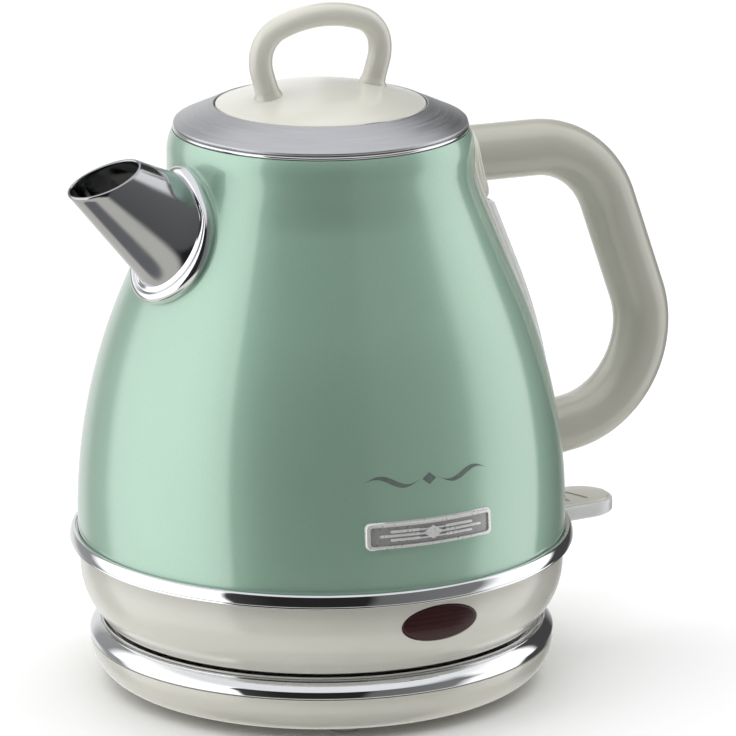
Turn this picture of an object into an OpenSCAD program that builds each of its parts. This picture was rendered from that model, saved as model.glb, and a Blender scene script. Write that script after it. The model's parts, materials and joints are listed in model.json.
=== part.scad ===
// Retro electric kettle: bell-shaped steel body on a round power base.
// Millimetres, +Z up, table at z = 0, spout towards -X, handle towards +X, lamp facing -Y.

/* [Power base] */
// Outer radius of the base's chrome band
base_r = 76.7; // [74:0.1:80]
// Height of the base's chrome band above the table
base_band_z = 15.2; // [14:0.1:18]
// Radius of the circle that the three feet stand on
foot_pcd_r = 59.5; // [52:0.5:60]
// Bore radius of the cord inlet
cord_bore_r = 3.6; // [3:0.1:4]

/* [Body] */
// Widest radius of the painted body
belly_r = 80.5; // [78:0.1:82]
// Height of the widest point
belly_z = 57; // [55:0.5:60]
// Radius of the belly's curve in side view
belly_arc = 193; // [180:1:205]
// Slope of the straight flank, from vertical
flank_angle = 22.9; // [21:0.1:24]
// Radius of the cylindrical neck
neck_r = 50.2; // [49.5:0.1:51]
// Thickness of the painted steel
wall = 0.8; // [0.6:0.1:1]

/* [Spout] */
// Angle of the spout above the horizontal
spout_tilt = 36.7; // [35:0.1:40]
// Radius of the spout at its mouth
mouth_r = 10.8; // [10:0.1:12]
// Half-angle of the spout's cone
spout_taper = 11; // [9:0.5:13]
// Slope of the mouth's plane
mouth_slope = 22; // [15:1:28]
// Outer radius of the collar at the spout's root
collar_r = 20; // [19:0.1:21]

/* [Handle] */
// Radius of the handle tube
handle_r = 9.4; // [8.5:0.1:10]
// Length of the handle's straight top
handle_top_len = 31.4; // [29:0.1:33]
// Radius of the handle's upper bend
handle_upper_bend = 32.5; // [31:0.1:34]
// Length of the handle's straight back
handle_back_len = 34.9; // [32:0.1:37]
// Radius of the handle's lower bend
handle_lower_bend = 31.9; // [30:0.1:33]

/* [Lid] */
// Outer radius of the lid
lid_r = 48.3; // [47.8:0.1:48.8]
// Radius of the cream disc on the lid
disc_r = 34.4; // [32:0.1:36]
// Radius of the lid loop's tube
loop_r = 3.8; // [3.4:0.1:4.2]

/* [Switch] */
// Furthest reach of the switch lever
lever_reach = 112; // [106:0.5:116]
// Half-width of the lever's pad
lever_half_w = 11; // [10:0.1:12]

/* [Hidden] */

fine = 96;
clear_gap = 0.3;
hair = 0.04;

cream = [0.90, 0.88, 0.80];
mint = [0.62, 0.80, 0.70];
steel = [0.75, 0.76, 0.78];
chrome = [0.85, 0.86, 0.88];
brass = [0.80, 0.65, 0.35];
black = [0.12, 0.12, 0.13];
rubber = [0.25, 0.25, 0.26];
clear = [0.85, 0.90, 0.92, 0.5];

// Power base, from the table up
foot_h = 2.2;
foot_r = 5;
base_flat_r = 65;
base_wall = 2.4;
plate_r = 46;
tray_z = 17.4;
tray_t = 2.2;
tray_flat_r = 66;
tray_r = 73.1;
band_round = 3.5;
post_r = 38;
screw_shank_r = 1.2;
screw_hole_r = 1.3;
screw_head_r = 2.8;
inlet_z = 9;
inlet_r = 5.3;
foot_angles = [for (k = [0:2]) -113 + 120 * k];
post_angles = [for (k = [0:2]) -30 + 120 * k];

// Centre connector
boss_r = 15;
boss_top = 31;
well_r = 9.8;
column_r = 5.2;
pin_r = 1.8;
pin_hole_r = 2.3;
shutter_z = 22.2;
shutter_top = 26.1;

// Kettle foot
plug_z = 19.8;
cover_z = 22.6;
cover_t = 2.2;
cover_r = 60.4;
housing_r = 79.8;
housing_top = 48;
housing_arc = 25;
housing_arc_z = 40.9;
housing_wall = 2.4;
ring_r = 83.1;
plate_z = 52.8;
plate_t = 1.2;
cup_r = 18.2;
terminal_angles = [37, 323];
cover_post_r = 55;

// Body profile
flank_z = belly_z + belly_arc * sin(flank_angle);
flank_r = belly_r - belly_arc * (1 - cos(flank_angle));
neck_arc = 32;
neck_tangent = neck_arc * tan(flank_angle / 2);
neck_z = flank_z + (flank_r - neck_r) / tan(flank_angle) + neck_tangent;
rim_arc = 16;
rim_arc_z = 178.4;
rim_angle = 28;
shell_bottom = 50.3;

// Spout: its mouth's centre, and the direction that it points down into the body
mouth_x = -81.6;
mouth_z = 177.6;
spout_len = 52;
spout_t = 1;
collar_proud = 3.6;
collar_tilt = 46.5;
collar_x = -57.3;
collar_z = 157.4;

// Handle centreline: it leaves the neck, and each step is a length, or a radius and an angle
handle_start = [50, 0, 170.3];
handle_heading = 92;
handle_steps = [[handle_top_len], [handle_upper_bend, 68], [handle_back_len],
                [handle_lower_bend, 103], [20]];
handle_bore = 6.8;
core_len = 20;
bolt_r = 2;
bolt_seats = [-2.3, 0.4];

// Level gauge strip under the handle
strip_w = 15.5;
strip_top_z = 167.5;
strip_proud = 2;
window_w = 13.6;
window_proud = 5.5;
window_z = [86, 157];
window_hollow_top = 151.5;
root_collar_r = 14;
port_z = [92, 146];
port_r = 2.5;

// Lamp and badge
lamp_angle = -91.3;
lamp_z = 39.1;
lamp_half = [13.6, 5.8];
badge_angle = -93.9;
badge_z = 70.5;
badge_half = [22.4, 4.4];
badge_border = 1.3;

// Steam tube
steam_pos = [38, 14];
steam_r = 4;

// Lid
lid_z = 185.9;
cone_z = 187.2;
cone_top_z = 194;
shell_t = 0.9;
ledge_r = 28;
ledge_z = 191.8;
disc_edge_z = 194.1;
disc_rise = 4.3;
lid_plug_r = 43.6;
lid_plug_z = 176;
gasket_r = 46.9;
loop_foot_x = 19.3;
loop_foot_z = 195.4;
loop_side = [[0.6], [12, -17], [6.8], [12, 18], [0.6], [10.75, 69], [0.2]];
loop_arch = [44.05, 40];
loop_steps = concat(loop_side, [loop_arch], reversed(loop_side));

// Switch lever
lever_z = [40.6, 46.8];
pivot = [66, 44];
pivot_pin_r = 2;
lever_neck_w = 8.6;
lever_neck_x = 81.5;
lug_w = 2;

// Filter
filter_x = -43.5;
filter_half_w = 15;
filter_z = [141, 175];
filter_border = 3;

// The kettle's axis, placed so that the middle of the outline is at the origin
spout_tip = -91.8;
handle_back = 133.7;
axis_x = -(spout_tip + handle_back) / 2;

module place() translate([axis_x, 0, 0]) children();

function arc_pts(cx, cz, r, from, to, n) =
  [for (k = [0:n]) let (a = from + (to - from) * k / n) [cx + r * cos(a), cz + r * sin(a)]];

// Side view of the body, moved inwards by d, from its lower edge to its rim
function body_pts(d, z0) = concat(
  [[belly_r - d, z0]],
  arc_pts(belly_r - belly_arc, belly_z, belly_arc - d, 0, flank_angle, 12),
  [for (k = [0:6]) let (a = flank_angle * (1 - k / 6))
    [neck_r + neck_arc - (neck_arc + d) * cos(a), neck_z - (neck_arc + d) * sin(a)]],
  arc_pts(neck_r - rim_arc, rim_arc_z, rim_arc - d, 0, rim_angle, 5));

// Side view of the cream housing, moved inwards by d
function housing_pts(d, z0) =
  let (a0 = -asin((housing_arc_z - z0) / (housing_arc - d)),
       a1 = -asin((housing_arc_z - housing_top) / (housing_arc - d)))
  arc_pts(housing_r - housing_arc, housing_arc_z, housing_arc - d, a0, a1, 12);

function reversed(list) = [for (k = [len(list) - 1:-1:0]) list[k]];

// Everything inside the body's outline, moved inwards by d
module body_solid(d = 0, z0 = shell_bottom) {
  pts = body_pts(d, z0);
  top = pts[len(pts) - 1];
  rotate_extrude($fn = fine) polygon(concat([[0, z0]], pts, [[0, top[1]]]));
}

module housing_solid(d = 0) {
  pts = housing_pts(d, cover_z);
  rotate_extrude($fn = fine) polygon(concat([[0, cover_z]], pts, [[0, housing_top]]));
}

module tube(r_out, r_in, h) {
  difference() {
    cylinder(h = h, r = r_out, $fn = fine);
    translate([0, 0, -1]) cylinder(h = h + 2, r = r_in, $fn = fine);
  }
}

module at_angles(angles, r) {
  for (a = angles) rotate([0, 0, a]) translate([r, 0, 0]) children();
}

// Pan-head screw with its head down and its shank up
module screw(shank_r, head_r, head_h, length) {
  difference() {
    cylinder(h = head_h, r = head_r, $fn = 32);
    translate([-head_r, -0.4, -1]) cube([2 * head_r, 0.8, 1.6]);
  }
  translate([0, 0, head_h]) cylinder(h = length, r = shank_r, $fn = 32);
}

// Round wire wound as a coil about +Z
module coil(r, wire, height, turns) {
  sides = 6;
  steps = ceil(turns * 14);
  pts = [for (k = [0:steps]) for (s = [0:sides - 1])
    let (a = 360 * turns * k / steps, b = 360 * s / sides)
    [(r + wire * cos(b)) * cos(a), (r + wire * cos(b)) * sin(a),
     wire + (height - 2 * wire) * k / steps + wire * sin(b)]];
  walls = [for (k = [0:steps - 1]) for (s = [0:sides - 1]) for (half = [0, 1])
    let (a = k * sides + s, b = k * sides + (s + 1) % sides)
    half == 0 ? [a, a + sides, b + sides] : [a, b + sides, b]];
  ends = [[for (s = [0:sides - 1]) s],
          [for (s = [sides - 1:-1:0]) steps * sides + s]];
  polyhedron(points = pts, faces = concat(walls, ends));
}

// Round bar that sets out along +Z and takes one step after another; a bend of a positive
// angle turns towards +X, a negative one towards -X. Bends are a hair thinner than straights,
// which reach a hair into them. Children stand at the bar's far end.
module follow(steps, r = 0, k = 0) {
  step = steps[k];
  if (k == len(steps)) children();
  else if (len(step) == 1) {
    if (r > 0) translate([0, 0, -hair]) cylinder(h = step[0] + 2 * hair, r = r, $fn = 48);
    translate([0, 0, step[0]]) follow(steps, r, k + 1) children();
  } else {
    side = step[1] < 0 ? 180 : 0;
    turn = abs(step[1]);
    rotate([0, 0, side]) translate([step[0], 0, 0]) {
      if (r > 0) rotate([90, 0, 0]) rotate([0, 0, 180 - turn])
        rotate_extrude(angle = turn, $fn = fine) translate([step[0], 0]) circle(r - hair, $fn = 48);
      rotate([0, turn, 0]) translate([-step[0], 0, 0]) rotate([0, 0, side])
        follow(steps, r, k + 1) children();
    }
  }
}

// ---- Power base ----

function bowl_pts(d) = [for (k = [0:10]) let (a = 9 * k)
  [base_flat_r + (base_r - 0.1 - base_flat_r - d) * sin(a),
   base_band_z - 0.1 - (base_band_z - 0.1 - foot_h - d) * cos(a)]];

module base_shell() color(cream) place() difference() {
  rotate_extrude($fn = fine) polygon(concat(
    [[plate_r + 0.2, foot_h]], bowl_pts(0),
    reversed(bowl_pts(base_wall)), [[plate_r + 0.2, foot_h + base_wall]]));
  at_angles(foot_angles, foot_pcd_r) cylinder(h = 20, r = 1.9, center = true, $fn = 32);
  translate([0, 60, inlet_z]) rotate([-90, 0, 0]) cylinder(h = 30, r = inlet_r + 0.1, $fn = 48);
}

module base_bottom_plate() color(cream) place() difference() {
  translate([0, 0, foot_h]) cylinder(h = base_wall, r = plate_r, $fn = fine);
  at_angles(post_angles, post_r) {
    cylinder(h = 20, r = screw_hole_r, center = true, $fn = 32);
    translate([0, 0, foot_h - 1]) cylinder(h = 2.2, r = screw_head_r + 0.2, $fn = 32);
  }
  for (k = [0:11]) rotate([0, 0, 30 * k]) translate([14, -0.9, 0]) cube([10, 1.8, 10]);
}

module base_trim_ring() color(chrome) place() rotate_extrude($fn = fine)
  polygon(concat(
    [[tray_r + 0.1, base_band_z], [base_r, base_band_z]],
    arc_pts(base_r - band_round, base_band_z + 2.2, band_round, 0, 90, 8)));

module base_tray() color(cream) place() difference() {
  union() {
    rotate_extrude($fn = fine) polygon([
      [boss_r + 0.2, tray_z], [tray_flat_r, tray_z], [70, tray_z + 0.6], [72, tray_z + 1.7],
      [tray_r, tray_z + 2.9], [tray_r, tray_z - tray_t + 2.4], [70.6, tray_z - tray_t + 0.5],
      [tray_flat_r, tray_z - tray_t], [boss_r + 0.2, tray_z - tray_t]]);
    at_angles(post_angles, post_r) translate([0, 0, foot_h + base_wall + 0.1])
      cylinder(h = tray_z - tray_t / 2 - foot_h - base_wall - 0.1, r = 3.6, $fn = 32);
  }
  at_angles(post_angles, post_r) cylinder(h = 14, r = screw_hole_r, $fn = 32);
}

module base_socket() color(black) place() difference() {
  union() {
    translate([0, 0, 10]) cylinder(h = boss_top - 10, r = boss_r, $fn = fine);
    translate([0, 0, tray_z - tray_t - 2.1]) cylinder(h = 2, r = boss_r + 3, $fn = fine);
  }
  translate([0, 0, 19]) difference() {
    cylinder(h = 20, r = well_r, $fn = fine);
    cylinder(h = boss_top - 20, r = column_r, $fn = fine);
  }
  translate([0, 0, 15]) cylinder(h = 20, r = pin_hole_r + 0.7, $fn = 48);
}

module base_contacts() color(brass) place() {
  translate([0, 0, 15.1]) tube(pin_hole_r + 0.6, pin_hole_r, 13);
  at_angles([90, 210, 330], 11.5) translate([-0.4, -2.4, 4.9]) cube([0.8, 4.8, 5]);
}

module shutter_spring() color(steel) place() translate([0, 0, 19.1])
  coil(7.5, 0.35, shutter_z - 19.3, 2);

module base_feet() color(rubber) place() at_angles(foot_angles, foot_pcd_r) {
  cylinder(h = foot_h, r = foot_r, $fn = 48);
  cylinder(h = 5.5, r = 1.8, $fn = 32);
  translate([0, 0, foot_h + base_wall + 0.1]) cylinder(h = 1.2, r = 2.4, $fn = 32);
}

module base_screws() color(steel) place() at_angles(post_angles, post_r)
  translate([0, 0, foot_h - 0.4]) screw(screw_shank_r, screw_head_r, 1.5, 8.5);

module cord_inlet() color(cream) place() translate([0, 65.5, inlet_z]) rotate([-90, 0, 0])
  tube(inlet_r, cord_bore_r, 12);

module contact_shutter() color(cream) place() translate([0, 0, shutter_z])
  tube(well_r - clear_gap, column_r + clear_gap, shutter_top - shutter_z);

// ---- Kettle foot ----

module body_trim_ring() color(chrome) place() rotate_extrude($fn = fine) polygon(concat(
  [[77, housing_top + 0.05], [80.3, housing_top + 0.05], [80.3, 47.2], [81.4, 47.3], [81.8, 48.1]],
  arc_pts(ring_r - 1.7, 50.4, 1.7, -50, 90, 8),
  [[belly_r + 0.1, 52.1], [belly_r + 0.1, shell_bottom - 0.1], [77, shell_bottom - 0.1]]));

module ellipse_prism(half, grow, depth) linear_extrude(depth)
  polygon([for (k = [0:39]) [(half[0] + grow) * cos(9 * k), (half[1] + grow) * sin(9 * k)]]);

module lamp_at() rotate([0, 0, lamp_angle]) translate([60, 0, lamp_z]) children();

module lamp_prism(grow) lamp_at() rotate([90, 0, 90]) ellipse_prism(lamp_half, grow, 30);

module bottom_housing() color(cream) place() difference() {
  inner_z = cover_z + housing_wall;
  inner = housing_pts(housing_wall, inner_z);
  union() {
    difference() {
      housing_solid();
      rotate_extrude($fn = fine) polygon(concat(
        [[0, inner_z]], inner, [[inner[12][0], 60], [0, 60]]));
      translate([0, 0, 10]) cylinder(h = 20, r = cover_r + 0.2, $fn = fine);
    }
    intersection() {
      housing_solid(1);
      for (s = [-1, 1]) translate([62, s > 0 ? lever_neck_w + 0.4 : -lever_neck_w - 0.4 - lug_w, 38])
        cube([20, lug_w, 9.6]);
    }
    intersection() {
      housing_solid(1);
      at_angles(post_angles, cover_post_r) translate([0, 0, cover_z + cover_t])
        cylinder(h = 12, r = 3.6, $fn = 32);
    }
    intersection() {
      housing_solid(1);
      at_angles(post_angles, 68) translate([-11, -1, 26]) cube([20, 2, 10]);
    }
  }
  lamp_prism(0.1);
  translate([pivot[0] + 6, -lever_neck_w - 0.4, 36.4]) cube([30, 2 * lever_neck_w + 0.8, 20]);
  translate([pivot[0], 0, pivot[1]]) rotate([90, 0, 0])
    cylinder(h = 40, r = pivot_pin_r, center = true, $fn = 32);
  at_angles(post_angles, cover_post_r) translate([0, 0, 10]) cylinder(h = 23.5, r = screw_hole_r, $fn = 32);
}

module bottom_cover() color(cream) place() difference() {
  union() {
    translate([0, 0, cover_z]) cylinder(h = cover_t, r = cover_r, $fn = fine);
    translate([0, 0, tray_z + 0.2]) tube(43, 40.5, cover_z - tray_z);
  }
  translate([0, 0, 10]) cylinder(h = 20, r = cup_r + 0.1, $fn = fine);
  at_angles(post_angles, cover_post_r) {
    translate([0, 0, 10]) cylinder(h = 20, r = screw_hole_r, $fn = 32);
    translate([0, 0, cover_z - 1]) cylinder(h = 2.2, r = screw_head_r + 0.1, $fn = 32);
  }
}

module bottom_screws() color(steel) place() at_angles(post_angles, cover_post_r)
  translate([0, 0, cover_z - 0.4]) screw(screw_shank_r, screw_head_r - 0.1, 1.5, 9);

module heater_plate() color(steel) place() difference() {
  translate([0, 0, plate_z]) cylinder(h = plate_t, r = belly_r - wall - 0.1, $fn = fine);
  translate([steam_pos[0], steam_pos[1], 40]) cylinder(h = 20, r = steam_r + 0.05, $fn = 48);
}

module plate_seal() color(rubber) place() translate([0, 0, shell_bottom])
  tube(belly_r - wall - 0.1, 76, plate_z - shell_bottom - 0.05);

module heating_element() color(steel) place() {
  rotate([0, 0, 30]) rotate_extrude(angle = 300, $fn = fine)
    translate([46, plate_z - 3.5]) circle(3.4, $fn = 48);
  at_angles(terminal_angles, 46) translate([0, 0, 41]) cylinder(h = plate_z - 44.5, r = 1.6, $fn = 32);
}

module element_tabs() color(brass) place()
  at_angles(terminal_angles, 46) translate([-4, -0.4, 34]) cube([8, 0.8, 6.9]);

module control_unit() color(black) place() {
  translate([0, 0, 33.5]) cylinder(h = 12.3, r = 22, $fn = fine);
  translate([18, -6, 34]) cube([34, 12, 10]);
}

module bimetal_disc() color(steel) place() translate([-8, 0, 45.9]) cylinder(h = 0.5, r = 8, $fn = 48);

module kettle_plug() color(black) place() {
  translate([0, 0, plug_z]) tube(cup_r, boss_r + 0.6, 13.5);
  translate([0, 0, 31.8]) cylinder(h = 1.5, r = cup_r, $fn = fine);
  translate([0, 0, 20.5]) cylinder(h = 12, r = pin_r, $fn = 48);
  translate([0, 0, shutter_top + 0.2]) tube(8.6, 6.2, 6);
}

module steam_tube() color(steel) place() translate([steam_pos[0], steam_pos[1], 47])
  tube(steam_r, steam_r - 0.8, 123);

module lamp_lens() color([0.35, 0.10, 0.10]) place() difference() {
  intersection() {
    lamp_prism(0);
    housing_solid(-0.7);
  }
  housing_solid(housing_wall);
}

module lamp_bulb() color([0.9, 0.5, 0.3]) place() lamp_at() translate([11, -5, 0])
  rotate([-90, 0, 0]) cylinder(h = 10, r = 2.6, $fn = 32);

// ---- Body ----

module spout_cone(grow, length = spout_len) {
  translate([mouth_x, 0, mouth_z]) rotate([0, 90 + spout_tilt, 0]) translate([0, 0, -12])
    cylinder(h = length + 12, r1 = mouth_r + grow - 12 * tan(spout_taper),
             r2 = mouth_r + grow + length * tan(spout_taper), $fn = fine);
}

module above_mouth() translate([mouth_x, 0, mouth_z]) rotate([0, -mouth_slope, 0])
  translate([-60, -60, 0]) cube([120, 120, 60]);

// The two ends of the handle: +Z runs from the wall into the tube
module handle_root(k) translate(handle_start) rotate([0, handle_heading, 0])
  if (k == 0) children();
  else follow(handle_steps) rotate([0, 180, 0]) children();

module body_shell() color(mint) place() difference() {
  rotate_extrude($fn = fine) polygon(concat(
    body_pts(0, shell_bottom), reversed(body_pts(wall, shell_bottom))));
  spout_cone(0.15);
  for (k = [0, 1]) handle_root(k) cylinder(h = 30, r = bolt_r + 0.2, center = true, $fn = 32);
  for (z = port_z) translate([40, 0, z]) rotate([0, 90, 0]) cylinder(h = 60, r = port_r, $fn = 32);
}

module spout() color(steel) place() difference() {
  spout_cone(0);
  spout_cone(-spout_t, spout_len + 1);
  above_mouth();
  body_solid(wall);
}

module spout_collar() color(chrome) place() difference() {
  intersection() {
    translate([collar_x, 0, collar_z]) rotate([0, 90 + collar_tilt, 0])
      cylinder(h = 60, r = collar_r, center = true, $fn = fine);
    body_solid(-collar_proud);
    translate([-100, -40, 100]) cube([70, 80, 82.4]);
  }
  spout_cone(0.1, spout_len + 1);
  body_solid(0);
}

module badge_at() rotate([0, 0, badge_angle]) translate([0, 0, badge_z]) children();

module badge_block(inset) badge_at() translate([40, -badge_half[0] + inset, -badge_half[1] + inset])
  cube([60, 2 * (badge_half[0] - inset), 2 * (badge_half[1] - inset)]);

module badge_frame() color(chrome) place() difference() {
  intersection() {
    badge_block(0);
    body_solid(-1.3);
  }
  badge_block(badge_border);
  body_solid(-0.05);
}

module badge_plate() color(steel) place() difference() {
  intersection() {
    badge_block(badge_border + 0.05);
    body_solid(-0.8);
  }
  body_solid(-0.05);
}

// A slab over the strip's outline: straight sides, with a round top end
module strip_slab(half_w, z0, top_z) {
  translate([30, -half_w, z0]) cube([80, 2 * half_w, top_z - z0]);
  translate([30, 0, top_z]) rotate([0, 90, 0]) cylinder(h = 80, r = half_w, $fn = 64);
}

module window_slab(grow, top = window_z[1]) translate([30, -window_w - grow, window_z[0] - grow])
  cube([80, 2 * (window_w + grow), top - window_z[0] + 2 * grow]);

module root_disc(grow) translate([30, 0, strip_top_z]) rotate([0, 90, 0])
  cylinder(h = 80, r = root_collar_r + grow, $fn = 64);

module gauge_frame() color(cream) place() difference() {
  intersection() {
    strip_slab(strip_w, 52.6, strip_top_z);
    body_solid(-strip_proud);
  }
  body_solid(-0.05);
  window_slab(0.05);
  for (k = [0, 1]) handle_root(k) cylinder(h = 40, r = handle_r + 0.1, center = true, $fn = 48);
}

module gauge_window() color(clear) place() difference() {
  intersection() {
    window_slab(0);
    body_solid(-window_proud);
  }
  body_solid(-1.5);
  intersection() {
    window_slab(-2.5, window_hollow_top);
    body_solid(-window_proud + 1.6);
  }
  difference() {
    root_disc(0.1);
    body_solid(-strip_proud);
  }
}

module gauge_seals() color(rubber) place() difference() {
  intersection() {
    window_slab(-0.3);
    body_solid(-1.45);
  }
  window_slab(-3);
  body_solid(-0.05);
}

module handle() color(cream) place() difference() {
  handle_root(0) follow(handle_steps, handle_r);
  for (k = [0, 1]) handle_root(k) cylinder(h = core_len + 1, r = handle_bore, $fn = 48);
  body_solid(-0.1);
}

module handle_collar() color(cream) place() difference() {
  intersection() {
    root_disc(0);
    body_solid(-5);
  }
  body_solid(-strip_proud - 0.05);
  handle_root(0) cylinder(h = 40, r = handle_r + 0.05, center = true, $fn = 48);
}

module handle_cores() color(steel) place() difference() {
  for (k = [0, 1]) handle_root(k) cylinder(h = core_len, r = handle_bore - 0.1, $fn = 48);
  body_solid(-0.15);
  for (k = [0, 1]) handle_root(k)
    cylinder(h = 2 * core_len + 2, r = bolt_r + 0.05, center = true, $fn = 32);
}

module handle_bolts() color(steel) place() for (k = [0, 1]) handle_root(k) {
  seat = bolt_seats[k];
  translate([0, 0, seat - 2.4]) cylinder(h = 2.4, r = 3.6, $fn = 32);
  translate([0, 0, seat]) cylinder(h = core_len - 2, r = bolt_r, $fn = 32);
}

module handle_washers() color(rubber) place() for (k = [0, 1]) handle_root(k) {
  seat = bolt_seats[k];
  translate([0, 0, seat]) tube(4.2, bolt_r + 0.05, 1);
}

// ---- Switch ----

module lever_pin() color(steel) place() translate([pivot[0], 0, pivot[1]]) rotate([90, 0, 0])
  cylinder(h = 2 * (lever_neck_w + 0.4 + lug_w), r = pivot_pin_r, center = true, $fn = 32);

module lever_spring() color(steel) place()
  translate([pivot[0], lever_neck_w + lug_w + 0.6, pivot[1]]) rotate([-90, 0, 0])
    coil(2.8, 0.4, 4, 3);

module lever_pad(half_w, z0, z1) translate([0, 0, z0]) {
  translate([lever_reach - lever_half_w, 0, 0]) cylinder(h = z1 - z0, r = half_w, $fn = 64);
  translate([lever_neck_x + lever_half_w - half_w, -half_w, 0])
    cube([lever_reach - lever_neck_x - 2 * lever_half_w + half_w, 2 * half_w, z1 - z0]);
}

module switch_lever() color(cream) place() difference() {
  union() {
    lever_pad(lever_half_w - 1.2, lever_z[0], lever_z[1]);
    translate([pivot[0] - 4, -lever_neck_w, lever_z[0]])
      cube([lever_neck_x - pivot[0] + 6, 2 * lever_neck_w, lever_z[1] - lever_z[0]]);
  }
  translate([pivot[0], 0, pivot[1]]) rotate([90, 0, 0])
    cylinder(h = 60, r = pivot_pin_r + 0.08, center = true, $fn = 32);
  for (k = [0, 1]) translate([92 + 7 * k, 0, lever_z[1]]) rotate([0, 0, 35])
    cube([1, 13, 1.2], center = true);
}

module lever_rim() color(clear) place() difference() {
  lever_pad(lever_half_w, lever_z[0] + 0.6, lever_z[1] - 0.9);
  lever_pad(lever_half_w - 1.15, 30, 60);
  translate([lever_neck_x - 6, -lever_neck_w - 0.05, 30])
    cube([9, 2 * lever_neck_w + 0.1, 30]);
}

// ---- Filter ----

module filter_block(inset, depth) translate([-70, -filter_half_w + inset, filter_z[0] + inset])
  cube([70 + filter_x + depth, 2 * (filter_half_w - inset), filter_z[1] - filter_z[0] - 2 * inset]);

module filter_frame() color(cream) place() difference() {
  intersection() {
    filter_block(0, 0);
    body_solid(wall + 0.5);
  }
  filter_block(filter_border, 10);
  translate([filter_x - 1.9, -filter_half_w + 1.4, filter_z[0] + 1.4])
    cube([0.9, 2 * filter_half_w - 2.8, filter_z[1] - filter_z[0] - 2.8]);
}

module filter_mesh() color(steel) place() difference() {
  translate([filter_x - 1.85, -filter_half_w + 1.5, filter_z[0] + 1.5])
    cube([0.8, 2 * filter_half_w - 3, filter_z[1] - filter_z[0] - 3]);
  for (row = [0:8]) for (col = [0:7])
    translate([filter_x, -9.8 + 2.8 * col, filter_z[0] + 5.8 + 2.8 * row]) rotate([0, 90, 0])
      cylinder(h = 10, r = 0.9, center = true, $fn = 16);
}

// ---- Lid ----

module lid_rim() color(chrome) place() rotate_extrude($fn = fine) polygon(concat(
  [[lid_plug_r + 0.4, lid_z]],
  arc_pts(lid_r - 0.6, lid_z + 0.6, 0.6, -90, 90, 6),
  [[lid_plug_r + 0.4, lid_z + 1.2]]));

module lid_shell() color(steel) place() rotate_extrude($fn = fine) polygon([
  [lid_r - 0.2, cone_z], [disc_r + 0.4, cone_top_z], [disc_r + 0.4, ledge_z], [ledge_r, ledge_z],
  [ledge_r, ledge_z - shell_t], [disc_r + 4.5, ledge_z - shell_t], [lid_r - 2.2, cone_z]]);

module lid_disc() color(cream) place() difference() {
  rotate_extrude($fn = fine) polygon(concat(
    [[0, ledge_z + 0.1], [disc_r, ledge_z + 0.1], [disc_r, disc_edge_z - 0.5],
     [disc_r - 0.2, disc_edge_z - 0.1]],
    [for (k = [0:8]) let (q = 1 - k / 8)
      [(disc_r - 0.6) * q, disc_edge_z + disc_rise * (1 - q * q)]]));
  for (s = [-1, 1]) translate([s * loop_foot_x, 0, loop_foot_z])
    cylinder(h = 10, r = loop_r + 0.05, $fn = 48);
  for (s = [-1, 1]) translate([s * loop_foot_x, 0, ledge_z - 1])
    cylinder(h = 10, r = 1.6, $fn = 32);
}

module lid_loop() color(cream) place() difference() {
  translate([-loop_foot_x, 0, loop_foot_z + 0.05]) follow(loop_steps, loop_r);
  for (s = [-1, 1]) translate([s * loop_foot_x, 0, 190]) cylinder(h = 12, r = 1.45, $fn = 32);
}

module lid_plug() color(cream) place() difference() {
  rotate_extrude($fn = fine) polygon([
    [0, lid_plug_z], [lid_plug_r - 2, lid_plug_z], [lid_plug_r, lid_plug_z + 2],
    [lid_plug_r, 187.6], [lid_plug_r - 2, 188.6], [lid_plug_r - 2, lid_plug_z + 2.5],
    [0, lid_plug_z + 2.5]]);
  for (k = [0:5]) rotate([0, 0, 60 * k]) translate([30, 0, 170]) cylinder(h = 12, r = 2, $fn = 24);
}

module lid_gasket() color(rubber) place() difference() {
  translate([0, 0, 182.4]) tube(gasket_r, lid_plug_r + 0.05, 3);
  translate([0, 0, 183.6]) tube(60, gasket_r - 1.2, 0.6);
}

module lid_screws() color(steel) place() for (s = [-1, 1])
  translate([s * loop_foot_x, 0, ledge_z - 2]) screw(1.4, 3, 2, 9);

base_shell();
base_bottom_plate();
base_trim_ring();
base_tray();
base_socket();
base_contacts();
shutter_spring();
base_feet();
base_screws();
cord_inlet();
contact_shutter();
body_shell();
body_trim_ring();
bottom_housing();
bottom_cover();
bottom_screws();
heater_plate();
plate_seal();
heating_element();
element_tabs();
control_unit();
bimetal_disc();
kettle_plug();
steam_tube();
spout();
spout_collar();
lamp_lens();
lamp_bulb();
badge_frame();
badge_plate();
gauge_frame();
gauge_window();
gauge_seals();
handle();
handle_collar();
handle_cores();
handle_bolts();
handle_washers();
lever_pin();
lever_spring();
switch_lever();
lever_rim();
filter_frame();
filter_mesh();
lid_rim();
lid_shell();
lid_disc();
lid_loop();
lid_plug();
lid_gasket();
lid_screws();
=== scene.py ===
"""Looks of the retro electric kettle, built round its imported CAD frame. +Z up, table at z = 0."""

import json
import math

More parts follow.
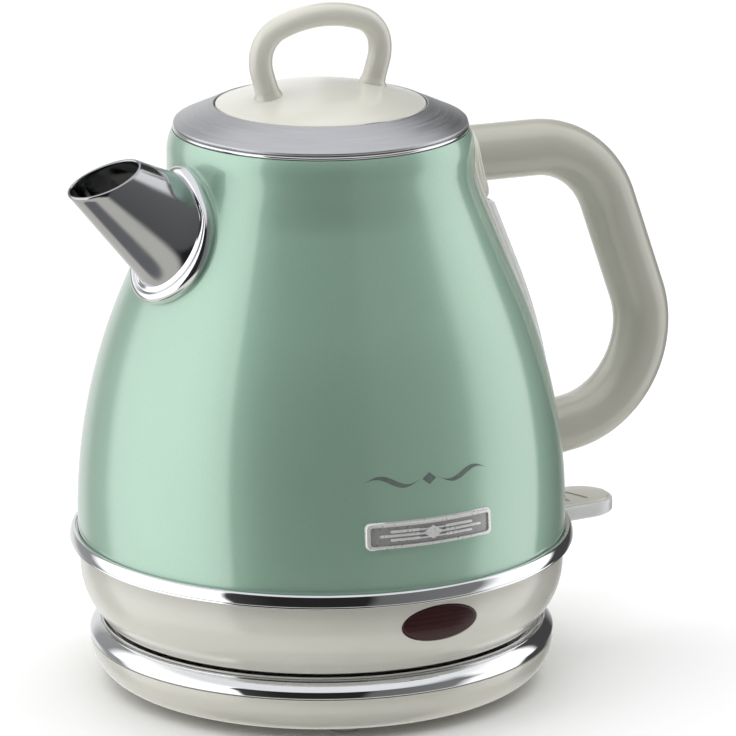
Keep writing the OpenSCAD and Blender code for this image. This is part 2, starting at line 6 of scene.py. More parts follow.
import bmesh
import bpy
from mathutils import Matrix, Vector


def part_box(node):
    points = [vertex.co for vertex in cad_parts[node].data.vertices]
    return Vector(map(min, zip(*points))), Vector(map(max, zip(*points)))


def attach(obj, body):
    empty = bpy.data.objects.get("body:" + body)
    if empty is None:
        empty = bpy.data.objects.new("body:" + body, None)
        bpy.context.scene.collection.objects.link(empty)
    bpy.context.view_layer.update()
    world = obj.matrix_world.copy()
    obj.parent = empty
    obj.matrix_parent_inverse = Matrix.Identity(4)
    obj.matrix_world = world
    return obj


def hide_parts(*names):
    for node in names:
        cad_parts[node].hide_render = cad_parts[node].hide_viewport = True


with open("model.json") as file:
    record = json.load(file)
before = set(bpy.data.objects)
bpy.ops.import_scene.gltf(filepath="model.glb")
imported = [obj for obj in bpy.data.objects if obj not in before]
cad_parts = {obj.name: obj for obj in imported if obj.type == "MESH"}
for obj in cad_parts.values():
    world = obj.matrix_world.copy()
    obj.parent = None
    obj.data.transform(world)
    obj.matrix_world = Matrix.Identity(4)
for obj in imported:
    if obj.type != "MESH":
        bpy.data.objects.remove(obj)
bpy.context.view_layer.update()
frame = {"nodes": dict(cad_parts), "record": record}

# ---- Sizes, in millimetres about the kettle's own axis ----

MM = 0.001
ROUND = 180          # points round a turned piece
TUBE = 48            # points round a tube


def span(node):
    """Lowest and highest corner of a CAD node, in millimetres."""
    low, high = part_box(node)
    return Vector(low) / MM, Vector(high) / MM


rim_low, rim_high = span("lid_rim")
AXIS = (rim_low.x + rim_high.x) / 2
LID_R = (rim_high.x - rim_low.x) / 2
LID_Z = rim_low.z
ring_low, ring_high = span("body_trim_ring")
RING_R = (ring_high.x - ring_low.x) / 2
RING_TOP = ring_high.z
band_low, band_high = span("base_trim_ring")
BAND_R = (band_high.x - band_low.x) / 2
BAND_LOW = band_low.z
BAND_TOP = band_high.z
COVER_Z = span("bottom_housing")[0].z
SHELL_LOW = span("body_shell")[0].z
LEVER_REACH = span("lever_rim")[1].x - AXIS
FOOT_H = span("base_bottom_plate")[0].z      # height of the base above the table

# Body: a long arc over the belly, a straight flank, a hollow arc to the neck, an arc in to the rim.
BELLY_R, BELLY_Z, BELLY_ARC = 80.5, 57.0, 193.0
FLANK = math.radians(22.9)
NECK_R, NECK_ARC = 50.2, 32.0
RIM_ARC, RIM_ARC_Z, RIM_ANGLE = 16.0, 178.4, 28.0
WALL = 0.8
FLANK_Z = BELLY_Z + BELLY_ARC * math.sin(FLANK)
FLANK_R = BELLY_R - BELLY_ARC * (1 - math.cos(FLANK))
NECK_Z = FLANK_Z + (FLANK_R - NECK_R) / math.tan(FLANK) + NECK_ARC * math.tan(FLANK / 2)
HOUSING_R, HOUSING_ARC, HOUSING_ARC_Z, HOUSING_TOP, HOUSING_WALL = 79.8, 25.0, 40.9, 48.0, 2.4

# Spout: a cone that grows down its axis from the mouth, more in height than in width.
MOUTH = Vector((-81.6, 0, 177.6))
SPOUT_TILT, MOUTH_SLOPE = math.radians(36.7), math.radians(22)
MOUTH_R, TALL_TAPER, SIDE_TAPER, SPOUT_T = 10.8, 0.232, 0.15, 1.0
SPOUT_COUNT = 120    # points round the spout and its collar
COLLAR_R, COLLAR_TILT = 20.0, math.radians(46.5)
COLLAR_AT = Vector((-57.3, 0, 157.4))

# Routes: a straight is (length,) and a bend is (radius, degrees), to the right if positive.
HANDLE_START, HANDLE_HEADING, HANDLE_R = Vector((50, 0, 170.3)), 92.0, 9.4
HANDLE_STEPS = [(31.4,), (32.5, 68), (34.9,), (31.9, 103)]
LOOP_FOOT, LOOP_R = Vector((-19.3, 0, 195.4)), 3.8
LOOP_SIDE = [(0.6,), (12, -17), (6.8,), (12, 18), (0.6,), (10.75, 69), (0.2,)]
LOOP_STEPS = LOOP_SIDE + [(44.05, 40)] + LOOP_SIDE[::-1]

# Half widths, heights, directions in degrees from +X, and how far a part stands proud of the body.
STRIP_W, STRIP_LOW, STRIP_TOP, STRIP_PROUD = 15.5, 52.6, 167.5, 2.0
WINDOW_W, WINDOW_LOW, WINDOW_TOP, WINDOW_PROUD = 13.6, 86.0, 157.0, 4.5
ROOT_R, ROOT_PROUD = 14.0, 5.0
LAMP_ANGLE, LAMP_Z, LAMP_W, LAMP_H = -91.3, 39.1, 13.6, 5.8
BADGE_ANGLE, BADGE_Z, BADGE_W, BADGE_H = -93.9, 70.5, 22.4, 4.4
LEVER_Z = (40.6, 46.8)
LEVER_W, LEVER_NECK_W, LEVER_NECK_X, LEVER_BACK = 11.0, 8.6, 81.5, 62.0
DISC_R, DISC_EDGE, DISC_RISE = 34.4, 194.1, 6.2
CONE_LOW, CONE_TOP, LEDGE_R, LEDGE_Z = 187.2, 194.0, 28.0, 191.8


# ---- Outlines ----

def evenly(start, end, count):
    """Values in even steps from start to end, both included."""
    return [start + (end - start) * k / count for k in range(count + 1)]


def full_turn(count):
    return [2 * math.pi * k / count for k in range(count)]


def arc(cx, cz, radius, start, end, count=12):
    """Points of an arc, angles in degrees from +X."""
    angles = [math.radians(a) for a in evenly(start, end, count)]
    return [(cx + radius * math.cos(a), cz + radius * math.sin(a)) for a in angles]


def oval(half_w, half_h, z, count=96):
    return [(half_w * math.cos(a), z + half_h * math.sin(a)) for a in full_turn(count)]


def rounded(corners, count=6):
    """Outline with its corners rounded: a corner is (x, y) or (x, y, radius)."""
    result = []
    total = len(corners)
    for k, corner in enumerate(corners):
        here = Vector(corner[:2])
        if len(corner) == 2:
            result.append(tuple(here))
            continue
        back = Vector(corners[k - 1][:2]) - here
        ahead = Vector(corners[(k + 1) % total][:2]) - here
        half = back.angle(ahead) / 2
        reach = min(corner[2] / math.tan(half), 0.49 * back.length, 0.49 * ahead.length)
        radius = reach * math.tan(half)
        middle = here + (back.normalized() + ahead.normalized()).normalized() * radius / math.sin(half)
        first = here + back.normalized() * reach - middle
        last = here + ahead.normalized() * reach - middle
        turn = first.angle_signed(last)
        for j in range(count + 1):
            a = -turn * j / count
            spun = Vector((first.x * math.cos(a) - first.y * math.sin(a),
                           first.x * math.sin(a) + first.y * math.cos(a)))
            result.append(tuple(middle + spun))
    return result


def body_radius(z, proud=0.0):
    """Radius of the painted body at a height, grown outwards by proud."""
    if z < BELLY_Z + (BELLY_ARC + proud) * math.sin(FLANK):
        return BELLY_R - BELLY_ARC + math.sqrt((BELLY_ARC + proud) ** 2 - (z - BELLY_Z) ** 2)
    bend = NECK_ARC - proud
    if z < NECK_Z - bend * math.sin(FLANK):
        return FLANK_R + proud / math.cos(FLANK) - (z - FLANK_Z) * math.tan(FLANK)
    if z < NECK_Z:
        return NECK_R + NECK_ARC - math.sqrt(bend ** 2 - (NECK_Z - z) ** 2)
    if z < RIM_ARC_Z:
        return NECK_R + proud
    above = min(z - RIM_ARC_Z, 0.9 * (RIM_ARC + proud))
    return NECK_R - RIM_ARC + math.sqrt((RIM_ARC + proud) ** 2 - above ** 2)


def housing_radius(z, proud=0.0):
    """Radius of the cream housing at a height, grown outwards by proud."""
    return HOUSING_R - HOUSING_ARC + math.sqrt((HOUSING_ARC + proud) ** 2 - (z - HOUSING_ARC_Z) ** 2)


def body_outline(proud):
    """Side view of the body from its lower edge to its rim."""
    flank = math.degrees(FLANK)
    bend = NECK_ARC - proud
    neck = [(NECK_R + NECK_ARC - bend * math.cos(a), NECK_Z - bend * math.sin(a))
            for a in evenly(FLANK, 0, 16)]
    return ([(body_radius(SHELL_LOW, proud), SHELL_LOW)]
            + arc(BELLY_R - BELLY_ARC, BELLY_Z, BELLY_ARC + proud, 0, flank, 40) + neck
            + arc(NECK_R - RIM_ARC, RIM_ARC_Z, RIM_ARC + proud, 0, RIM_ANGLE, 10))


# ---- Making pieces ----

materials = {}
NODE_SLOTS = {part["node"]: part["material_slot"] for part in frame["record"]["subparts"]}


def make(name, points, faces, slot=None, body=None, replaces=(), sharp=32):
    """A mesh piece about the kettle's axis, from points in millimetres. A cutter has no slot."""
    mesh = bpy.data.meshes.new(name)
    mesh.from_pydata([Vector(p) * MM for p in points], [], faces)
    builder = bmesh.new()
    builder.from_mesh(mesh)
    bmesh.ops.remove_doubles(builder, verts=builder.verts, dist=1e-7)
    bmesh.ops.recalc_face_normals(builder, faces=builder.faces)
    builder.to_mesh(mesh)
    builder.free()
    piece = bpy.data.objects.new(name, mesh)
    bpy.context.scene.collection.objects.link(piece)
    piece.location.x = AXIS * MM
    smooth(piece, sharp)
    if slot:
        mesh.materials.append(materials[slot])
        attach(piece, body)
    if replaces:
        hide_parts(*replaces)
    return piece


def smooth(piece, sharp=32):
    piece.data.polygons.foreach_set("use_smooth", [True] * len(piece.data.polygons))
    piece.data.set_sharp_from_angle(angle=math.radians(sharp))


def cut(piece, *cutters):
    """Takes the cutters' volume out of a piece."""
    for cutter in cutters:
        modifier = piece.modifiers.new("cut", "BOOLEAN")
        modifier.object = cutter
        modifier.operation = "DIFFERENCE"
        modifier.solver = "EXACT"
        graph = bpy.context.evaluated_depsgraph_get()
        mesh = bpy.data.meshes.new_from_object(piece.evaluated_get(graph))
        piece.modifiers.clear()
        piece.data = mesh
        bpy.data.objects.remove(cutter)
    smooth(piece)


def turned(outline, x=0.0, y=0.0, count=ROUND, closed=True):
    """Points and faces of an outline of (radius, height) turned about a vertical line."""
    points, rings, faces = [], [], []
    for r, z in outline:
        if r < 1e-6:
            rings.append([len(points)] * count)
            points.append((x, y, z))
            continue
        rings.append(list(range(len(points), len(points) + count)))
        points += [(x + r * math.cos(a), y + r * math.sin(a), z) for a in full_turn(count)]
    pairs = list(zip(rings, rings[1:])) + ([(rings[-1], rings[0])] if closed else [])
    for low, high in pairs:
        for k in range(count):
            j = (k + 1) % count
            corners = list(dict.fromkeys((low[k], low[j], high[j], high[k])))
            if len(corners) > 2:
                faces.append(corners)
    return points, faces


def lathe(name, outline, slot, body, replaces=(), closed=True):
    points, faces = turned(outline, closed=closed)
    return make(name, points, faces, slot, body, replaces)


def joined(rows):
    return [point for row in rows for point in row]


def rows_to_faces(rows, count, loop=True, start=0):
    """Faces between rows of points, each row closed to a loop or left open."""
    faces = []
    for i in range(rows - 1):
        for k in range(count if loop else count - 1):
            j = (k + 1) % count
            faces.append([start + i * count + k, start + i * count + j,
                          start + (i + 1) * count + j, start + (i + 1) * count + k])
    return faces


def tube_faces(rows, count):
    """Faces between rings of points, with both ends closed."""
    last = (rows - 1) * count
    return rows_to_faces(rows, count) + [list(range(count)), list(range(last, last + count))]


def on_surface(radius, angle, across, z, proud):
    """Point that stands proud of a turned surface, across millimetres beside the angle's plane."""
    r = radius(z, proud)
    along = math.sqrt(max(r * r - across * across, 0))
    a = math.radians(angle)
    return (along * math.cos(a) - across * math.sin(a), along * math.sin(a) + across * math.cos(a), z)


def inset(outline, amount):
    """Outline moved inwards, along its own normals."""
    total = len(outline)
    result = []
    for k in range(total):
        before, after = Vector(outline[k - 1]), Vector(outline[(k + 1) % total])
        along = (after - before).normalized()
        result.append((outline[k][0] - along.y * amount, outline[k][1] + along.x * amount))
    return result


def edge_rows(outline, level, edge):
    """Rows of a quarter round that closes in towards a level: from below it, or from above if edge < 0."""
    return [(inset(outline, abs(edge) * (1 - math.cos(a))), level - edge + edge * math.sin(a))
            for a in evenly(0, math.pi / 2, 5)]


def pad(name, radius, angle, outline, low, high, edge, slot=None, body=None, replaces=(), fill=8):
    """A plate that follows a turned surface, with a rounded edge. The outline runs anticlockwise."""
    rows = [(outline, low)] + edge_rows(outline, high, edge)
    last = rows[-1][0]
    points = [on_surface(radius, angle, y, z, proud) for line, proud in rows for y, z in line]
    count = len(outline)
    faces = rows_to_faces(len(rows), count)
    for line, proud, first in ((outline, low, 0), (last, high, (len(rows) - 1) * count)):
        start = len(points)
        for k in range(1, fill + 1):
            points += [on_surface(radius, angle, y * (1 - k / fill), z, proud) for y, z in line]
        faces += [[first + k, first + (k + 1) % count, start + (k + 1) % count, start + k]
                  for k in range(count)]
        faces += rows_to_faces(fill, count, start=start)
    return make(name, points, faces, slot, body, replaces)


def box(low, high):
    """A plain block that cuts."""
    points = [(x, y, z) for x in (low[0], high[0]) for y in (low[1], high[1]) for z in (low[2], high[2])]
    faces = [(0, 1, 3, 2), (4, 6, 7, 5), (0, 4, 5, 1), (2, 3, 7, 6), (0, 2, 6, 4), (1, 5, 7, 3)]
    return make("cutter", points, faces)


def rod(start, end, radius, count=48):
    """A plain round bar that cuts."""
    start, end = Vector(start), Vector(end)
    along = (end - start).normalized()
    side = along.orthogonal().normalized()
    up = along.cross(side)
    points = [middle + (side * math.cos(a) + up * math.sin(a)) * radius
              for middle in (start, end) for a in full_turn(count)]
    return make("cutter", points, tube_faces(2, count))


def heading_x(heading):
    """Direction to the right of a heading; a heading is in degrees from +Z towards +X."""
    a = math.radians(heading)
    return Vector((math.cos(a), 0, -math.sin(a)))


def heading_z(heading):
    a = math.radians(heading)
    return Vector((math.sin(a), 0, math.cos(a)))


def route(start, heading, steps, spacing=1.2):
    """Points and headings along straights (length,) and bends (radius, angle) in the side view."""
    here = Vector(start)
    result = [(here.copy(), heading)]
    for step in steps:
        if len(step) == 1:
            count = max(1, round(step[0] / spacing))
            result += [(here + heading_z(heading) * step[0] * k / count, heading)
                       for k in range(1, count + 1)]
            here = here + heading_z(heading) * step[0]
            continue
        radius, turn = step
        side = 1 if turn > 0 else -1
        middle = here + heading_x(heading) * radius * side
        count = max(4, round(abs(math.radians(turn)) * radius / spacing))
        for k in range(1, count + 1):
            now = heading + turn * k / count
            result.append((middle - heading_x(now) * radius * side, now))
        here, heading = result[-1]
    return result


def tube_ring(middle, heading, radius, count=TUBE):
    return [middle + heading_x(heading) * radius * math.cos(a) + Vector((0, radius * math.sin(a), 0))
            for a in full_turn(count)]


def slide_to_body(point, along, proud, low=-14.0, high=14.0):
    """Moves a point along a line to the body's surface; high is the end outside the body."""
    for _ in range(40):
        middle = (low + high) / 2
        spot = point + along * middle
        if math.hypot(spot.x, spot.y) > body_radius(spot.z, proud):
            high = middle
        else:
            low = middle
    return point + along * low


# ---- Materials ----

COLOUR_A, COLOUR_B, COLOUR_OUT = 6, 7, 2     # colour sockets of a mix node, which share their names


class Nodes:
    """A node tree, with short ways to add to it. A value is a socket or a constant."""

    def __init__(self, tree):
        self.tree = tree

    def add(self, kind, **settings):
        node = self.tree.nodes.new(kind)
        for key, value in settings.items():
            setattr(node, key, value)
        return node

    def feed(self, value, target):
        if isinstance(value, bpy.types.NodeSocket):
            self.tree.links.new(value, target)
        else:
            target.default_value = value

    def axes(self, vector):
        node = self.add("ShaderNodeSeparateXYZ")
        self.feed(vector, node.inputs["Vector"])
        return node.outputs

    def maths(self, operation, *values):
        node = self.add("ShaderNodeMath", operation=operation)
        for value, target in zip(values, node.inputs):
            self.feed(value, target)
        return node.outputs["Value"]

    def remap(self, value, source, target=(0, 1), curve="LINEAR"):
        node = self.add("ShaderNodeMapRange", interpolation_type=curve)
        keys = ("Value", "From Min", "From Max", "To Min", "To Max")
        for key, number in zip(keys, (value, *source, *target)):
            self.feed(number, node.inputs[key])
        return node.outputs["Result"]

    def mix(self, factor, first, second, blend="MIX"):
        node = self.add("ShaderNodeMix", data_type="RGBA", blend_type=blend)
        self.feed(factor, node.inputs["Factor"])
        self.feed(first, node.inputs[COLOUR_A])
        self.feed(second, node.inputs[COLOUR_B])
        return node.outputs[COLOUR_OUT]

    def colours(self, value, *stops):
        """Colour ramp from (position, colour) pairs."""
        node = self.add("ShaderNodeValToRGB")
        ramp = node.color_ramp
        while len(ramp.elements) < len(stops):
            ramp.elements.new(0.5)
        for element, (position, colour) in zip(ramp.elements, stops):
            element.position = position
            element.color = (*colour, 1)
        self.feed(value, node.inputs["Fac"])
        return node.outputs["Color"]


class Graph(Nodes):
    """A material's nodes: a principled shader, and the patterns that drive it."""

    def __init__(self, name, **constants):
        material = bpy.data.materials.new(name)
        material.use_nodes = True
        super().__init__(material.node_tree)
        self.shader = self.tree.nodes["Principled BSDF"]
        for key, value in constants.items():
            self.shader.inputs[key.replace("_", " ")].default_value = value
        self.place = self.add("ShaderNodeTexCoord").outputs["Object"]
        materials[name] = material

    def stretched(self, scale):
        node = self.add("ShaderNodeMapping")
        self.feed(scale, node.inputs["Scale"])
        self.feed(self.place, node.inputs["Vector"])
        return node.outputs["Vector"]

    def polar(self, across, along):
        """Coordinates that run round the vertical axis, for a surface turned on a lathe."""
        parts = self.axes(self.place)
        length = self.add("ShaderNodeVectorMath", operation="LENGTH")
        self.feed(self.place, length.inputs[0])
        angle = self.maths("ARCTAN2", parts["Y"], parts["X"])
        joined = self.add("ShaderNodeCombineXYZ")
        self.feed(self.maths("MULTIPLY", length.outputs["Value"], across), joined.inputs["X"])
        self.feed(self.maths("MULTIPLY", angle, along), joined.inputs["Y"])
        return joined.outputs["Vector"]

    def noise(self, scale, detail=3.0, vector=None):
        node = self.add("ShaderNodeTexNoise")
        self.feed(scale, node.inputs["Scale"])
        self.feed(detail, node.inputs["Detail"])
        self.feed(vector or self.place, node.inputs["Vector"])
        return node.outputs["Fac"]

    def flakes(self, scale):
        node = self.add("ShaderNodeTexVoronoi")
        self.feed(scale, node.inputs["Scale"])
        self.feed(self.place, node.inputs["Vector"])
        return node.outputs["Color"]

    def between(self, value, low, high):
        """Brings the middle of a noise pattern to low ... high."""
        return self.remap(value, (0.3, 0.7), (low, high))

    def bump(self, value, depth, normal=None):
        node = self.add("ShaderNodeBump")
        self.feed(1.0, node.inputs["Strength"])
        self.feed(depth * MM, node.inputs["Distance"])
        self.feed(value, node.inputs["Height"])
        if normal:
            self.feed(normal, node.inputs["Normal"])
        return node.outputs["Normal"]

    def drive(self, socket, value):
        self.feed(value, self.shader.inputs[socket])


def shade(colour, factor):
    return tuple(c * factor for c in colour)


def plastic(name, colour, gloss, coat, grain, grain_depth):
    """Moulded plastic: slight colour drift, uneven gloss, a fine mould grain and a slow ripple."""
    g = Graph(name, Coat_Weight=coat, Coat_Roughness=0.16, Coat_IOR=1.65)
    g.drive("Base Color", g.colours(g.noise(28, 4), (0.3, shade(colour, 0.985)), (0.7, shade(colour, 1.015))))
    g.drive("Roughness", g.between(g.noise(190, 4), gloss * 0.88, gloss * 1.15))
    ripple = g.bump(g.noise(45, 1), 0.02)
    g.drive("Normal", g.bump(g.noise(grain, 2), grain_depth, ripple))


def metal(name, colour, gloss, scratch=900, depth=0.002, ripple=0.0):
    """Polished metal: tiny hairlines and faint smears in the gloss."""
    g = Graph(name, Metallic=1.0)
    g.drive("Base Color", g.colours(g.noise(40, 5), (0.3, shade(colour, 0.95)), (0.7, colour)))
    g.drive("Roughness", g.between(g.noise(130, 6), gloss * 0.7, gloss * 1.5))
    lines = g.noise(1.0, 2, g.stretched((scratch, scratch, scratch * 6)))
    slow = g.bump(g.noise(38, 1), ripple) if ripple else None
    g.drive("Normal", g.bump(lines, depth, slow))


def make_materials():
    plastic("cream_gloss", (0.66, 0.65, 0.575), 0.34, 1.0, 130, 0.004)
    plastic("cream_matte", (0.46, 0.45, 0.385), 0.40, 0.9, 2600, 0.006)
    plastic("black_plastic", (0.018, 0.018, 0.02), 0.42, 0.0, 2200, 0.012)
    plastic("rubber", (0.62, 0.60, 0.54), 0.62, 0.0, 1800, 0.02)
    metal("chrome", (0.86, 0.87, 0.89), 0.05, ripple=0.01)
    metal("polished_steel", (0.50, 0.51, 0.53), 0.10, ripple=0.02)
    metal("steel_hardware", (0.55, 0.56, 0.58), 0.28, 500, 0.01)
    metal("brass", (0.80, 0.58, 0.25), 0.22, 500, 0.01)

    g = Graph("brushed_steel", Metallic=1.0)
    rings = g.noise(1.0, 3, g.polar(5200, 2.0))
    g.drive("Base Color", g.colours(rings, (0.3, (0.58, 0.59, 0.61)), (0.7, (0.66, 0.67, 0.69))))
    g.drive("Roughness", g.between(rings, 0.34, 0.44))
    g.drive("Normal", g.bump(rings, 0.002))

    g = Graph("mint_paint", Metallic=0.5, Coat_Weight=1.0, Coat_Roughness=0.03, Coat_IOR=1.75)
    mint = (0.40, 0.61, 0.48)
    base = g.colours(g.noise(22, 3), (0.3, shade(mint, 0.97)), (0.7, shade(mint, 1.02)))
    pearl = g.colours(g.flakes(5200), (0.1, (0.90, 0.93, 0.91)), (0.9, (1.0, 1.0, 1.0)))
    g.drive("Base Color", g.mix(1.0, base, pearl, "MULTIPLY"))
    g.drive("Roughness", g.between(g.noise(2600, 2), 0.34, 0.42))
    g.drive("Normal", g.bump(g.noise(420, 1), 0.0015))

    g = Graph("clear_plastic", Transmission_Weight=0.3, IOR=1.46, Coat_Weight=0.5, Coat_Roughness=0.05)
    g.drive("Base Color", g.colours(g.noise(60, 3), (0.3, (0.88, 0.90, 0.90)), (0.7, (0.94, 0.95, 0.95))))
    g.drive("Roughness", g.between(g.noise(300, 4), 0.10, 0.20))
    g.drive("Normal", g.bump(g.noise(700, 2), 0.003))

    g = Graph("lamp_red", Coat_Weight=0.3, Coat_Roughness=0.05, Specular_IOR_Level=0.3)
    waves = g.add("ShaderNodeTexWave", bands_direction="Z")
    g.feed(190, waves.inputs["Scale"])
    g.feed(0.3, waves.inputs["Distortion"])
    g.feed(g.place, waves.inputs["Vector"])
    ribs = waves.outputs["Fac"]
    g.drive("Base Color", g.colours(ribs, (0.2, (0.030, 0.005, 0.006)), (0.9, (0.038, 0.007, 0.007))))
    g.drive("Roughness", g.between(g.noise(400, 3), 0.16, 0.26))
    g.drive("Normal", g.bump(ribs, 0.008))

    for name, colour in (("satin_silver", (0.86, 0.86, 0.85)), ("satin_plate", (0.42, 0.42, 0.415))):
        g = Graph(name, Metallic=0.45)
        mottle = g.noise(900, 3)
        g.drive("Base Color", g.colours(mottle, (0.3, shade(colour, 0.97)), (0.7, colour)))
        g.drive("Roughness", g.between(mottle, 0.26, 0.34))

    g = Graph("print_grey", Metallic=0.3)
    g.drive("Base Color", g.colours(g.noise(500, 3), (0.3, (0.13, 0.17, 0.15)), (0.7, (0.18, 0.22, 0.20))))
    g.drive("Roughness", g.between(g.noise(300, 3), 0.30, 0.42))

    g = Graph("studio_floor")
    g.drive("Base Color", g.colours(g.noise(6, 3), (0.3, (0.945, 0.945, 0.94)), (0.7, (0.96, 0.96, 0.955))))
    g.drive("Roughness", g.between(g.noise(30, 3), 0.6, 0.75))
    g.drive("Normal", g.bump(g.noise(300, 2), 0.02))


# ---- Power base ----

def make_base():
    flat_r, wall, plate_r = 65.0, 2.4, 46.2
    top = BAND_LOW - 0.1
    inlet_y, inlet_z, inlet_r = 65.5, 9.0, 5.3

    def bowl(d):
        return [(flat_r + (BAND_R - 0.1 - flat_r - d) * math.sin(a), top - (top - FOOT_H - d) * math.cos(a))
                for a in evenly(0, math.pi / 2, 24)]

    shell = lathe("base_shell_cream", [(plate_r, FOOT_H)] + bowl(0) + bowl(wall)[::-1]
                  + [(plate_r, FOOT_H + wall)], "cream_gloss", "base", ["base_shell"])
    cut(shell, rod((0, inlet_y - 5.5, inlet_z), (0, inlet_y + 24.5, inlet_z), inlet_r + 0.1))

    # The band bulges to a tight knee, then rises inwards in a wide curve.
    tight, wide, lean = 1.3, 9.5, math.radians(35)
    knee = BAND_LOW + 1.9
    lathe("base_chrome_band", [(73.2, BAND_LOW), (BAND_R - 0.5, BAND_LOW)]
          + arc(BAND_R - 0.5, BAND_LOW + 0.5, 0.5, -90, 0, 4)
          + arc(BAND_R - tight, knee, tight, 0, 35, 8)
          + arc(BAND_R - tight + (tight - wide) * math.cos(lean), knee + (tight - wide) * math.sin(lean),
                wide, 37, 64, 12)
          + arc(73.8, BAND_TOP - 0.6, 0.6, 75, 180, 6), "chrome", "base", ["base_trim_ring"])

    tray, tray_t, hub_r, dish_r = 17.4, 2.2, 15.2, 66
    lathe("base_tray_cream", [(hub_r, tray), (dish_r, tray)] + arc(dish_r, tray + 7.3, 7.3, -90, -25, 12)
          + [(73.1, tray + 3.2), (73.1, tray + 0.6), (70.6, tray - 1.7), (dish_r, tray - tray_t),
             (hub_r, tray - tray_t)],
          "cream_gloss", "base", ["base_tray"])

    # A polished steel liner over the cream tray: partly a guess at a steel surface, partly painted shade that
    # darkens the gap under the kettle.
    liner_r = 46
    lathe("base_tray_steel_shade_liner", [(liner_r, tray + 0.08)] + arc(dish_r, tray + 7.4, 7.32, -90, -29, 16)
          + [(73.4, tray + 3.5), (73.5, tray + 3.3)] + arc(dish_r, tray + 7.4, 7.38, -29, -90, 16)
          + [(liner_r, tray + 0.02)], "polished_steel", "base")

    foot_r, stem_r, stem_top, feet_r = 5, 1.8, 5.4, 59.5
    foot_top = FOOT_H + 0.1
    foot = ([(0, 0.0)] + rounded([(foot_r, 0, 0.7), (foot_r, foot_top), (stem_r, foot_top)])
            + [(stem_r, stem_top), (0, stem_top)])
    points, faces = [], []
    for degrees in (-113, 7, 127):
        a = math.radians(degrees)
        more, sides = turned(foot, feet_r * math.cos(a), feet_r * math.sin(a), 48, closed=False)
        faces += [[i + len(points) for i in side] for side in sides]
        points += more
    make("base_rubber_feet", points, faces, "rubber", "base", ["base_feet"])

    inlet = rounded([(3.6, 0), (inlet_r, 0), (inlet_r, 12, 0.8), (3.6, 12, 0.5)])
    points, faces = turned(inlet, count=64)
    make("cord_inlet_ring", [(x, inlet_y + z, inlet_z + y) for x, y, z in points], faces,
         "cream_gloss", "base", ["cord_inlet"])


# ---- Kettle foot: housing, ring, lamp ----

def make_housing():
    outer = [(housing_radius(z), z) for z in evenly(COVER_Z + 0.9, HOUSING_TOP, 30)]
    inner_z = COVER_Z + HOUSING_WALL
    inner = [(housing_radius(z, -HOUSING_WALL), z) for z in evenly(inner_z, HOUSING_TOP, 20)]
    edge_r, cover_r = outer[0][0], 60.6
    lip = [(edge_r - 1.5, COVER_Z), (edge_r - 0.5, COVER_Z + 0.1), (edge_r - 0.1, COVER_Z + 0.45)]
    housing = lathe("housing_cream", [(cover_r, COVER_Z)] + lip + outer + inner[::-1] + [(cover_r, inner_z)],
                    "cream_gloss", "kettle", ["bottom_housing"])
    lens = oval(LAMP_W, LAMP_H, LAMP_Z)
    lamp_hole = pad("cutter", housing_radius, LAMP_ANGLE, inset(lens, -0.25), -6, 6, 0.1)
    slot_w, slot_low, slot_top = LEVER_NECK_W + 0.4, LEVER_Z[0] - 4.2, LEVER_Z[1] + 9.6
    cut(housing, lamp_hole, box((72, -slot_w, slot_low), (102, slot_w, slot_top)))
    pad("lamp_lens_red", housing_radius, LAMP_ANGLE, lens, -2.2, 0.5, 0.5,
        "lamp_red", "kettle", ["lamp_lens"], fill=12)

    low, inner_r = RING_TOP - 4.9, 77
    ring = ([(inner_r, RING_TOP - 4.0), (80.3, RING_TOP - 4.0), (80.3, low)]
            + arc(RING_R - 1.0, low + 0.6, 0.6, -90, 75, 10) + [(RING_R - 0.78, low + 1.3)]
            + arc(RING_R - 6.0, RING_TOP - 3.2, 6.0, -3, 27, 14)
            + arc(RING_R - 1.45, RING_TOP - 0.8, 0.8, 40, 88, 6)
            + [(BELLY_R + 0.5, RING_TOP), (BELLY_R + 0.12, RING_TOP - 0.2),
               (BELLY_R + 0.12, SHELL_LOW - 0.1), (inner_r, SHELL_LOW - 0.1)])
    lathe("body_chrome_ring", ring, "chrome", "kettle", ["body_trim_ring"])


# ---- Body, spout and collar ----

def spout_point(angle, s, grow=0.0):
    """Point on the spout's wall: s runs down its axis from the mouth's centre."""
    along = Vector((math.cos(SPOUT_TILT), 0, -math.sin(SPOUT_TILT)))
    up = Vector((math.sin(SPOUT_TILT), 0, math.cos(SPOUT_TILT)))
    return (MOUTH + along * s + up * (MOUTH_R + TALL_TAPER * s + grow) * math.sin(angle)
            + Vector((0, (MOUTH_R + SIDE_TAPER * s + grow) * math.cos(angle), 0)))


def mouth_start(angle):
    """How far down the axis the mouth's sloping plane crosses the wall."""
    total = SPOUT_TILT + MOUTH_SLOPE
    rise = math.sin(angle) * math.cos(total)
    return MOUTH_R * rise / (math.sin(total) - TALL_TAPER * rise)


def reach_body(place, proud, low=5.0, high=60.0):
    """Distance at which a line of points enters the body."""
    for _ in range(40):
        middle = (low + high) / 2
        spot = place(middle)
        if math.hypot(spot.x, spot.y) > body_radius(spot.z, proud):
            low = middle
        else:
            high = middle
    return (low + high) / 2


def body_normal(spot):
    slope = body_radius(spot.z + 0.5) - body_radius(spot.z - 0.5)
    out = Vector((spot.x, spot.y, 0)).normalized()
    return (out - Vector((0, 0, slope))).normalized()


def curve_through(knots, steps=5):
    """Smooth curve through points."""
    result = []
    for k in range(len(knots) - 1):
        a, b, c, d = (knots[min(max(k + j, 0), len(knots) - 1)] for j in (-1, 0, 1, 2))
        for j in range(steps):
            t = j / steps
            result.append(0.5 * (2 * b + (c - a) * t + (2 * a - 5 * b + 4 * c - d) * t * t
                                 + (3 * b - a - 3 * c + d) * t * t * t))
    return result + [knots[-1]]


